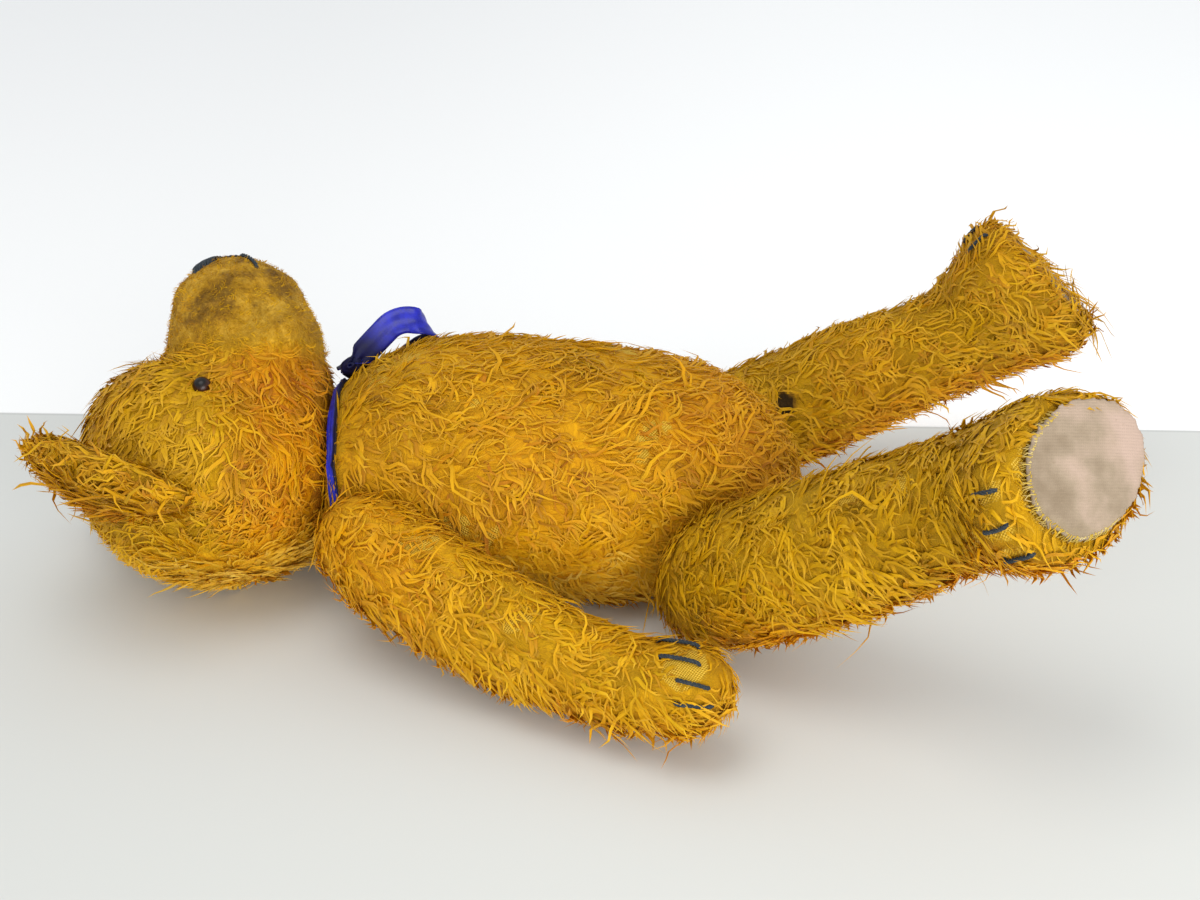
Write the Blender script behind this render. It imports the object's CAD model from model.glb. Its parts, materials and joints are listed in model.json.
import json
import math

import bmesh
import bpy
import numpy as np
from mathutils import Matrix, Vector, noise
from mathutils.bvhtree import BVHTree

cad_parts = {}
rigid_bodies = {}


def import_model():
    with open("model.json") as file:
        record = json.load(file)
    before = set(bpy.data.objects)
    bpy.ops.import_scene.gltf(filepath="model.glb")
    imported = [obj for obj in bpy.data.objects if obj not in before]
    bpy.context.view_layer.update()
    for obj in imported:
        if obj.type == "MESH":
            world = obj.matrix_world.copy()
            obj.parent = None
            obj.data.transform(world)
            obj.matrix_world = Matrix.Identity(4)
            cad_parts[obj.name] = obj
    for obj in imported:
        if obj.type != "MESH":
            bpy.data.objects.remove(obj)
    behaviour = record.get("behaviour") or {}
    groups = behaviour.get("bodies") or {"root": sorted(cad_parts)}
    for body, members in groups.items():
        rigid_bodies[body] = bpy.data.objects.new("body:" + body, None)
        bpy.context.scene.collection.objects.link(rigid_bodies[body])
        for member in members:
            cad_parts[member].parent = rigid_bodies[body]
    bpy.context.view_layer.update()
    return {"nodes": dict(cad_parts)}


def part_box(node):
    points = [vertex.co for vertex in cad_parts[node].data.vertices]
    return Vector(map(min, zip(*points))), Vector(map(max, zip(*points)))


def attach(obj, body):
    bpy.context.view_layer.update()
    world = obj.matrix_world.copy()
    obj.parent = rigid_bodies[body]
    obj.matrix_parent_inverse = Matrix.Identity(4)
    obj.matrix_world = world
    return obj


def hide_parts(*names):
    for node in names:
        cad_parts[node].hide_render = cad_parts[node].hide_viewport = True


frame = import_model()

bl_info = {
    "name": "Worn teddy bear",
    "version": (1, 0, 0),
    "blender": (4, 5, 0),
    "location": "View3D > Sidebar > Bear",
    "description": "Dresses the jointed bear in worn golden mohair, ribbon, pads and stitches",
    "category": "Object",
}

RIGHT, LEFT = -1, 1
UP = Vector((0.0, 0.0, 1.0))
GROUND = 0.0001  # no point of a skin goes lower
# Where the left limbs turn; the right ones turn at the same places on the other side
SHOULDER = (-0.070, 0.060, 0.048)
HIP = (0.068, 0.070, 0.034)


def linear(r, g, b):
    """A colour given in display values from 0 to 255."""
    return tuple((v / 255) ** 2.2 for v in (r, g, b)) + (1.0,)


# ---------------------------------------------------------------- node trees


class Wire:
    """A socket in a node tree; arithmetic on it adds the nodes that do it."""

    def __init__(self, graph, socket):
        self.graph, self.socket = graph, socket

    def _vector(self, *others):
        found = [self, *others]
        return any(
            (isinstance(o, Wire) and o.socket.type == "VECTOR") or isinstance(o, (tuple, Vector))
            for o in found
        )

    def _do(self, operation, *others):
        if self._vector(*others):
            return self.graph.vector(operation, self, *others)
        return self.graph.math(operation, self, *others)

    def __add__(self, other):
        return self._do("ADD", other)

    def __radd__(self, other):
        return self.graph.wire(other)._do("ADD", self)

    def __sub__(self, other):
        return self._do("SUBTRACT", other)

    def __rsub__(self, other):
        return self.graph.wire(other)._do("SUBTRACT", self)

    def __mul__(self, other):
        if self._vector() and not self._vector_like(other):
            return self.graph.scaled(self, other)
        if self._vector(other) and not self._vector():
            return self.graph.scaled(other, self)
        return self._do("MULTIPLY", other)

    __rmul__ = __mul__

    def __truediv__(self, other):
        return self._do("DIVIDE", other)

    def __rtruediv__(self, other):
        return self.graph.wire(other)._do("DIVIDE", self)

    def __pow__(self, other):
        return self.graph.math("POWER", self, other)

    @staticmethod
    def _vector_like(other):
        return isinstance(other, (tuple, Vector)) or (
            isinstance(other, Wire) and other.socket.type == "VECTOR"
        )


class Graph:
    """Builds a node tree with as few words as the maths takes."""

    def __init__(self, tree):
        self.tree = tree
        self.columns = 0

    def node(self, kind, settings=None, inputs=None):
        made = self.tree.nodes.new(kind)
        made.location = (180 * (self.columns % 40), -220 * (self.columns // 40))
        self.columns += 1
        for key, value in (settings or {}).items():
            setattr(made, key, value)
        for key, value in (inputs or {}).items():
            socket = self.pick(made.inputs, key)
            if isinstance(value, Wire):
                self.tree.links.new(value.socket, socket)
            else:
                socket.default_value = value
        return made

    @staticmethod
    def pick(sockets, key):
        if isinstance(key, int):
            return sockets[key]
        named = [s for s in sockets if s.name == key]
        return next((s for s in named if s.enabled), named[0])

    def out(self, made, key=0):
        if isinstance(key, int):
            return Wire(self, made.outputs[key])
        return Wire(self, self.pick(made.outputs, key))

    def get(self, kind, settings=None, inputs=None, out=0):
        return self.out(self.node(kind, settings, inputs), out)

    def wire(self, value):
        if isinstance(value, Wire):
            return value
        if isinstance(value, (tuple, Vector)):
            x, y, z = value
            return self.get("ShaderNodeCombineXYZ", None, {0: x, 1: y, 2: z})
        return self.get("ShaderNodeMath", {"operation": "ADD"}, {0: float(value), 1: 0.0})

    def math(self, operation, *values):
        return self.get("ShaderNodeMath", {"operation": operation},
                        {i: v if isinstance(v, Wire) else float(v) for i, v in enumerate(values)})

    def vector(self, operation, *values):
        out = 1 if operation in ("DOT_PRODUCT", "LENGTH", "DISTANCE") else 0
        inputs = {}
        for i, v in enumerate(values):
            if isinstance(v, Wire) or isinstance(v, (tuple, Vector)):
                inputs[i] = v if isinstance(v, Wire) else tuple(v)
            else:
                inputs[i] = (float(v),) * 3
        return self.get("ShaderNodeVectorMath", {"operation": operation}, inputs, out)

    def scaled(self, vector, factor):
        return self.get("ShaderNodeVectorMath", {"operation": "SCALE"},
                        {0: vector if isinstance(vector, Wire) else tuple(vector), "Scale": factor})

    def smooth(self, value, low, high, to_low=0.0, to_high=1.0):
        return self.get("ShaderNodeMapRange", {"interpolation_type": "SMOOTHSTEP"},
                        {0: value, 1: low, 2: high, 3: to_low, 4: to_high})

    def blend(self, factor, a, b):
        """A colour mix."""
        made = self.node("ShaderNodeMix", {"data_type": "RGBA"}, {0: factor, 6: a, 7: b})
        return self.out(made, 2)

    def tint(self, colour, factor):
        """The colour times a number."""
        grey = self.get("ShaderNodeCombineColor", None, {0: factor, 1: factor, 2: factor})
        made = self.node("ShaderNodeMix", {"data_type": "RGBA", "blend_type": "MULTIPLY"},
                         {0: 1.0, 6: colour, 7: grey})
        return self.out(made, 2)

    def ramp(self, value, stops):
        """Colours that follow the value, from stops of (place, colour)."""
        made = self.node("ShaderNodeValToRGB", None, {0: value})
        elements = made.color_ramp.elements
        while len(elements) < len(stops):
            elements.new(0.5)
        for element, (place, colour) in zip(elements, stops):
            element.position, element.color = place, colour
        return self.out(made, 0)

    def attribute(self, name, out="Fac"):
        return self.get("ShaderNodeAttribute", {"attribute_name": name}, None, out)

    def noise(self, vector, scale, detail=2.0, rough=0.5):
        return self.get("ShaderNodeTexNoise", None,
                        {"Vector": vector, "Scale": scale, "Detail": detail, "Roughness": rough})


def material(name, build, **fixed):
    """A new material: build(graph, shader) joins what varies, and fixed holds what doesn't."""
    made = bpy.data.materials.new(name)
    made.use_nodes = True
    graph = Graph(made.node_tree)
    shader = made.node_tree.nodes["Principled BSDF"]
    for key, value in fixed.items():
        shader.inputs[key.replace("_", " ").title().replace("Ior", "IOR")].default_value = value
    build(graph, shader)
    return made


def join_to(graph, shader, colour=None, roughness=None, height=None, strength=0.5, distance=0.001):
    if colour is not None:
        graph.tree.links.new(colour.socket, shader.inputs["Base Color"])
    if roughness is not None:
        graph.tree.links.new(roughness.socket, shader.inputs["Roughness"])
    if height is not None:
        bump = graph.get("ShaderNodeBump", None,
                         {"Strength": strength, "Distance": distance, "Height": height})
        graph.tree.links.new(bump.socket, shader.inputs["Normal"])


# ---------------------------------------------------------------- colours

OLIVE = (
    (0.00, linear(130, 90, 1)),
    (0.20, linear(164, 118, 1)),
    (0.40, linear(190, 142, 2)),
    (0.60, linear(205, 156, 5)),
    (0.80, linear(214, 167, 24)),
    (1.00, linear(222, 184, 66)),
)
AMBER = (
    (0.00, linear(144, 78, 1)),
    (0.20, linear(184, 110, 1)),
    (0.40, linear(206, 136, 2)),
    (0.60, linear(217, 153, 7)),
    (0.80, linear(224, 168, 30)),
    (1.00, linear(230, 186, 74)),
)
SHADES = 4  # steps from olive to amber in the palette of the locks


def mohair_lock(graph, shader):
    """Tone runs across the palette; up it, for each shade from olive to amber, root to tip."""
    place = graph.get("ShaderNodeUVMap", {"uv_map": "OFBake"})
    parts = graph.node("ShaderNodeSeparateXYZ", None, {0: place})
    tone, up = graph.out(parts, 0), graph.out(parts, 1) * float(SHADES)
    shade = graph.math("FLOOR", up)
    along = (up - shade - 0.1) * 1.25
    amber = shade * (1.0 / (SHADES - 1))
    strand = graph.noise(graph.wire((1.0, 0.0, 0.0)) * (tone * 210.0) + (0.0, 1.0, 0.0) * (along * 2.2),
                         1.0, 1.0)
    tone = tone + (strand - 0.5) * 0.24 + (along - 0.5) * 0.10
    colour = graph.blend(amber, graph.ramp(tone, OLIVE), graph.ramp(tone, AMBER))
    colour = graph.blend(graph.smooth(along, 0.6, 1.0, 0.0, 0.20), colour, linear(220, 174, 80))
    dark = graph.smooth(along, 0.0, 0.5, 0.84, 1.0) * (0.84 + strand * 0.32)
    join_to(graph, shader, graph.tint(colour, dark), None, strand, 0.5, 0.0004)


def mohair_ground(graph, shader):
    """What shows between the locks: the matted foot of the pile and, where it is worn, the weave."""
    at = graph.get("ShaderNodeTexCoord", None, None, "Object")
    tone, wear, amber = (graph.attribute(name) for name in ("tone", "wear", "amber"))
    grime, felt = graph.attribute("grime"), graph.attribute("felt")
    flow = graph.attribute("flow", "Vector")
    side = graph.attribute("cross", "Vector")
    bend = graph.noise(at, 120.0, 2.0, 0.5) - 0.5
    across = graph.vector("DOT_PRODUCT", at, side) + bend * 0.005
    along = graph.vector("DOT_PRODUCT", at, flow)
    lane = graph.wire((1.0, 0.0, 0.0)) * across + graph.wire((0.0, 0.16, 0.0)) * along
    hair = graph.noise(lane * 1900.0 + at * 60.0, 1.0, 1.0, 0.5)
    lock = graph.noise(lane * 620.0 + at * 30.0, 1.0, 2.0, 0.55)
    coarse = graph.noise(at, 150.0, 3.0, 0.6)
    fine = graph.noise(at, 900.0, 2.0, 0.6)
    tone = tone + (hair - 0.5) * 0.30 + (lock - 0.5) * 0.40 + (coarse - 0.5) * 0.25
    colour = graph.blend(amber, graph.ramp(tone, OLIVE), graph.ramp(tone, AMBER))
    colour = graph.tint(colour, 0.70 + lock * 0.42 + hair * 0.22)
    warp = graph.math("SINE", graph.vector("DOT_PRODUCT", at + bend * 0.002, (5000.0, 300.0, 1800.0)))
    weft = graph.math("SINE", graph.vector("DOT_PRODUCT", at + bend * 0.002, (-300.0, 4400.0, 3600.0)))
    knit = (warp * weft) * 0.5 + 0.5
    bare = graph.smooth(wear + (coarse - 0.5) * 0.5 + (fine - 0.5) * 0.5, 0.42, 0.66)
    weave = graph.ramp(knit + (hair - 0.5) * 0.5,
                       ((0.1, linear(160, 116, 14)), (0.5, linear(202, 158, 34)),
                        (1.0, linear(226, 190, 84))))
    colour = graph.blend(bare, colour, weave)
    blot = graph.noise(at, 95.0, 3.0, 0.65)
    pile = graph.ramp(blot * 0.6 + coarse * 0.2 + fine * 0.2,
                      ((0.34, linear(132, 92, 20)), (0.48, linear(176, 130, 28)),
                       (0.62, linear(206, 160, 54))))
    colour = graph.blend(felt, colour, pile)
    dirt = graph.noise(at, 230.0, 5.0, 0.7)
    dirty = graph.smooth(dirt + grime * 0.55, 0.66, 1.00)
    colour = graph.blend(dirty * 0.8, colour, linear(110, 78, 26))
    colour = graph.tint(colour, graph.smooth(grime, 0.86, 1.0, 1.0, 0.16))
    relief = (lock * 1.2 + hair * 0.5) * (1.0 - bare) + knit * bare * 0.5 + coarse * 0.5 + fine * felt
    join_to(graph, shader, colour, None, relief, 0.8, 0.0009)


# ---------------------------------------------------------------- fur


def fur_tree(name):
    """Locks of pile that lie along the skin: spread, bent by swirls and clumps, and pointed."""
    tree = bpy.data.node_groups.new(name, "GeometryNodeTree")
    face = tree.interface
    labels = {}
    for label, kind, value in (
        ("Skin", "NodeSocketGeometry", None),
        ("Spread by", "NodeSocketString", "thick"),
        ("Points in a lock", "NodeSocketInt", 6),
        ("Locks per square metre", "NodeSocketFloat", 2e5),
        ("Length", "NodeSocketFloat", 0.013),
        ("Width", "NodeSocketFloat", 0.0016),
        ("Clump size", "NodeSocketFloat", 0.0065),
        ("Clumping", "NodeSocketFloat", 0.55),
        ("Swirl", "NodeSocketFloat", 1.0),
        ("Wave", "NodeSocketFloat", 0.15),
        ("Lift", "NodeSocketFloat", 0.18),
        ("Droop", "NodeSocketFloat", 0.1),
        ("Seed", "NodeSocketInt", 1),
        ("Material", "NodeSocketMaterial", None),
    ):
        made = face.new_socket(label, in_out="INPUT", socket_type=kind)
        if value is not None:
            made.default_value = value
        labels[label] = made.identifier
    face.new_socket("Fur", in_out="OUTPUT", socket_type="NodeSocketGeometry")
    graph = Graph(tree)
    entry = graph.node("NodeGroupInput")
    give = {label: graph.out(entry, label) for label in labels}

    def named(attribute, kind="FLOAT"):
        return graph.get("GeometryNodeInputNamedAttribute", {"data_type": kind}, {"Name": attribute})

    def store(geometry, attribute, value, kind="FLOAT", domain="POINT"):
        return graph.get("GeometryNodeStoreNamedAttribute", {"data_type": kind, "domain": domain},
                         {"Geometry": geometry, "Name": attribute, "Value": value})

    def chance(low, high, seed):
        return graph.get("FunctionNodeRandomValue", {"data_type": "FLOAT"},
                         {"Min": low, "Max": high, "Seed": give["Seed"] + float(seed)}, "Value")

    spread = graph.node("GeometryNodeDistributePointsOnFaces", {"distribute_method": "RANDOM"}, {
        "Mesh": give["Skin"],
        "Density": give["Locks per square metre"] * named(give["Spread by"]),
        "Seed": give["Seed"],
    })
    points = graph.out(spread, "Points")
    normal = named("skin_normal", "FLOAT_VECTOR")
    at = graph.get("GeometryNodeInputPosition")
    clump = graph.node("ShaderNodeTexVoronoi", None, {"Vector": at, "Scale": 1.0 / give["Clump size"]})
    centre = graph.out(clump, "Position")
    colour = graph.node("ShaderNodeSeparateXYZ", None, {0: graph.out(clump, "Color")})
    turn_of_clump, lift_of_clump, tone_of_clump = (graph.out(colour, i) for i in range(3))
    swirl = graph.noise(at, 38.0, 1.5, 0.5) - 0.5
    angle = (swirl * 2.4 * give["Swirl"] + (turn_of_clump - 0.5) * give["Swirl"] * 1.9
             + chance(-0.30, 0.30, 11))
    flow = graph.vector("NORMALIZE", named("flow", "FLOAT_VECTOR"))
    way = graph.get("ShaderNodeVectorRotate", {"rotation_type": "AXIS_ANGLE"},
                    {"Vector": flow, "Axis": normal, "Angle": angle})
    size = named("long") * give["Length"] * (0.55 + tone_of_clump * 0.5 + chance(0.0, 0.4, 12))
    for attribute, value, kind in (
        ("lock_root", at, "FLOAT_VECTOR"),
        ("lock_way", way, "FLOAT_VECTOR"),
        ("lock_side", graph.vector("CROSS_PRODUCT", normal, way), "FLOAT_VECTOR"),
        ("lock_pull", (centre - at) * give["Clumping"], "FLOAT_VECTOR"),
        ("lock_length", size, "FLOAT"),
        ("lock_lift", give["Lift"] * (0.3 + lift_of_clump * 1.4 + chance(0.0, 0.35, 13)), "FLOAT"),
        ("lock_phase", turn_of_clump * 6.28 + chance(-0.5, 0.5, 14), "FLOAT"),
        ("lock_curl", (lift_of_clump - 0.5) * 2.8 + chance(-0.3, 0.3, 16), "FLOAT"),
        ("lock_amber", graph.math("ROUND", graph.math(
            "MAXIMUM", graph.math("MINIMUM", named("amber") + chance(-0.16, 0.16, 18), 1.0), 0.0)
            * (SHADES - 1.0)), "FLOAT"),
        ("lock_width", give["Width"] * chance(0.55, 1.25, 15) * (0.45 + named("long") * 0.55), "FLOAT"),
        ("lock_tone", named("tone") + (tone_of_clump - 0.5) * 0.34 + chance(-0.10, 0.10, 17), "FLOAT"),
    ):
        points = store(points, attribute, value, kind)
    line = graph.get("GeometryNodeCurvePrimitiveLine")
    line = graph.get("GeometryNodeResampleCurve", None, {"Curve": line, "Count": give["Points in a lock"]})
    locks = graph.get("GeometryNodeInstanceOnPoints", None, {"Points": points, "Instance": line})
    locks = graph.get("GeometryNodeRealizeInstances", None, {"Geometry": locks})

    t = graph.get("GeometryNodeSplineParameter", None, None, "Factor")
    reach = named("lock_length")
    wave = (graph.math("SINE", t * 7.5 + named("lock_phase")) * give["Wave"] * (t ** 0.7)
            + named("lock_curl") * (t ** 2.0) * 0.56)
    flat = (named("lock_root", "FLOAT_VECTOR")
            + named("lock_way", "FLOAT_VECTOR") * (reach * t)
            + named("lock_side", "FLOAT_VECTOR") * (reach * wave)
            + named("lock_pull", "FLOAT_VECTOR") * (t ** 0.8))
    near = graph.get("GeometryNodeProximity", {"target_element": "FACES"},
                     {0: give["Skin"], "Sample Position": flat}, "Position")
    above = graph.get("GeometryNodeSampleNearestSurface", {"data_type": "FLOAT_VECTOR"}, {
        "Mesh": give["Skin"], "Value": named("skin_normal", "FLOAT_VECTOR"), "Sample Position": flat})
    above = graph.vector("NORMALIZE", above)
    rise = (reach * named("lock_lift") * (t ** 1.5)
            + graph.math("SINE", t * 6.5 + named("lock_phase") * 1.7) * reach * 0.035
            + 0.0006 - (1.0 - t) * 0.0010)
    placed = (near * 0.8 + flat * 0.2 + above * rise
              + (0.0, 0.0, -1.0) * (reach * give["Droop"] * (t ** 2.0)))
    parts = graph.node("ShaderNodeSeparateXYZ", None, {0: placed})
    placed = graph.get("ShaderNodeCombineXYZ", None, {
        0: graph.out(parts, 0), 1: graph.out(parts, 1),
        2: graph.math("MAXIMUM", graph.out(parts, 2), 0.0009)})
    locks = graph.get("GeometryNodeSetPosition", None, {"Geometry": locks, "Position": placed})
    locks = graph.get("GeometryNodeSetCurveNormal", {"mode": "FREE"}, {"Curve": locks, "Normal": above})
    locks = store(locks, "along", t)
    outline = ((t + 0.22) ** 0.45) * ((1.001 - t) ** 0.75) * 1.15 + 0.01
    profile = graph.get("GeometryNodeCurvePrimitiveCircle", {"mode": "RADIUS"},
                        {"Resolution": 3, "Radius": 0.5})
    profile = graph.get("GeometryNodeTransform", None,
                        {"Geometry": profile, "Rotation": (0.0, 0.0, math.radians(-90)),
                         "Scale": (1.0, 0.34, 1.0)})
    profile = store(profile, "side", graph.get("GeometryNodeInputIndex") * 0.5)
    fur = graph.get("GeometryNodeCurveToMesh", None, {
        "Curve": locks, "Profile Curve": profile, "Scale": named("lock_width") * outline,
        "Fill Caps": True})
    across = graph.math("MAXIMUM", graph.math("MINIMUM", named("lock_tone"), 0.96), 0.03)
    across = across + (named("side") - 0.5) * 0.024
    fur = graph.get("GeometryNodeMergeByDistance", None,
                    {"Geometry": fur, "Selection": graph.math("GREATER_THAN", named("along"), 0.99),
                     "Distance": 0.00006})
    palette = graph.get("ShaderNodeCombineXYZ", None, {
        0: across, 1: (named("along") * 0.8 + 0.1 + named("lock_amber")) * (1.0 / SHADES)})
    fur = store(fur, "OFBake", palette, "FLOAT2", "CORNER")
    fur = graph.get("GeometryNodeSetMaterial", None, {"Geometry": fur, "Material": give["Material"]})
    end = graph.node("NodeGroupOutput")
    tree.links.new(fur.socket, end.inputs[0])
    return tree, labels


def grown(skin, name, tree, labels, values, body):
    """The fur that the tree grows on this skin, as a mesh of its own."""
    helper = bpy.data.objects.new(name, skin.data)
    bpy.context.scene.collection.objects.link(helper)
    modifier = helper.modifiers.new("fur", "NODES")
    modifier.node_group = tree
    for label, value in values.items():
        modifier[labels[label]] = value
    bpy.context.view_layer.update()
    evaluated = helper.evaluated_get(bpy.context.evaluated_depsgraph_get())
    mesh = bpy.data.meshes.new_from_object(evaluated)
    mesh.name = name
    helper.modifiers.clear()
    helper.data = mesh
    for attribute in [a.name for a in mesh.attributes if a.name.startswith("lock_") or a.name in
                      ("along", "side", "thick", "long", "tone", "wear", "grime", "felt", "fuzz", "stray",
                       "amber", "flow", "cross", "skin_normal")]:
        mesh.attributes.remove(mesh.attributes[attribute])
    mesh.shade_flat()
    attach(helper, body)
    return helper


# ---------------------------------------------------------------- skins


def node(name):
    return frame["nodes"][name]


def outer_skin(cover, core):
    """The outside of a cover as one closed mesh, its pin hole filled."""
    bm = bmesh.new()
    bm.from_mesh(node(cover).data)
    bmesh.ops.remove_doubles(bm, verts=bm.verts, dist=1e-5)
    if core:
        inside = tree_of(node(core).data)
        inner = []
        for f in bm.faces:
            middle = f.calc_center_median()
            hit = inside.ray_cast(middle + f.normal * 1e-5, f.normal, 0.004)
            if hit[0] is not None:
                inner.append(f)
        bmesh.ops.delete(bm, geom=inner, context="FACES")
        pieces, seen = [], set()
        for f in bm.faces:
            if f in seen:
                continue
            island, stack = [], [f]
            seen.add(f)
            while stack:
                g = stack.pop()
                island.append(g)
                for e in g.edges:
                    for h in e.link_faces:
                        if h not in seen:
                            seen.add(h)
                            stack.append(h)
            pieces.append(island)
        pieces.sort(key=lambda island: -sum(f.calc_area() for f in island))
        for island in pieces[1:]:
            bmesh.ops.delete(bm, geom=island, context="FACES")
        bmesh.ops.holes_fill(bm, edges=[e for e in bm.edges if e.is_boundary], sides=0)
        rest = [e for e in bm.edges if e.is_boundary]
        if rest:
            bmesh.ops.triangle_fill(bm, use_beauty=True, edges=rest)
    bmesh.ops.recalc_face_normals(bm, faces=bm.faces)
    if bm.calc_volume(signed=True) < 0:
        bmesh.ops.reverse_faces(bm, faces=bm.faces)
    return bm


def remeshed(bm, name, voxel, smoothing, lumps):
    """An even mesh of that shape, its facets smoothed out and the stuffing's lumps raised."""
    mesh = bpy.data.meshes.new(name)
    bm.to_mesh(mesh)
    bm.free()
    obj = bpy.data.objects.new(name, mesh)
    bpy.context.scene.collection.objects.link(obj)
    remesh = obj.modifiers.new("remesh", "REMESH")
    remesh.mode = "VOXEL"
    remesh.voxel_size = voxel
    soften = obj.modifiers.new("soften", "SMOOTH")
    soften.factor, soften.iterations = 0.5, smoothing
    made = bpy.data.meshes.new_from_object(obj.evaluated_get(bpy.context.evaluated_depsgraph_get()))
    bpy.data.objects.remove(obj)
    bpy.data.meshes.remove(mesh)
    co, normal = values_of(made)
    raised = np.array([noise.noise(Vector(p) * 45.0) + 0.5 * noise.noise(Vector(p) * 110.0) for p in co])
    co += normal * (raised * lumps)[:, None]
    co[:, 2] = np.maximum(co[:, 2], GROUND)
    moved(made, co)
    made.shade_smooth()
    return made


def values_of(mesh):
    """The places and the normals of a mesh's points."""
    count = len(mesh.vertices)
    co, normal = np.empty(count * 3), np.empty(count * 3)
    mesh.vertices.foreach_get("co", co)
    mesh.vertices.foreach_get("normal", normal)
    return co.reshape(-1, 3), normal.reshape(-1, 3)


def moved(mesh, co):
    """Puts a mesh's points at these places, and gives them back with their new normals."""
    mesh.vertices.foreach_set("co", co.ravel())
    mesh.update()
    return values_of(mesh)


def set_value(mesh, name, value):
    """Holds a number or a vector at each of a mesh's points."""
    vector = value.ndim == 2
    made = mesh.attributes.new(name, "FLOAT_VECTOR" if vector else "FLOAT", "POINT")
    made.data.foreach_set("vector" if vector else "value", value.astype(np.float32).ravel())


def eased(value, low, high):
    """0 up to low, 1 from high on, and a smooth step between."""
    share = np.clip((value - low) / (high - low), 0.0, 1.0)
    return share * share * (3 - 2 * share)


def field(points, scale, seed):
    """Smooth values between -1 and 1 over the points."""
    shift = Vector((seed * 13.7, seed * 7.1, seed * 3.3))
    return np.array([noise.noise(Vector(p) * scale + shift) for p in points])


def unit(vectors):
    length = np.linalg.norm(vectors, axis=1, keepdims=True)
    return vectors / np.maximum(length, 1e-9)


def along_skin(vectors, normals):
    """The part of each vector that lies in the skin."""
    return unit(vectors - normals * (vectors * normals).sum(1, keepdims=True))


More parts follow.
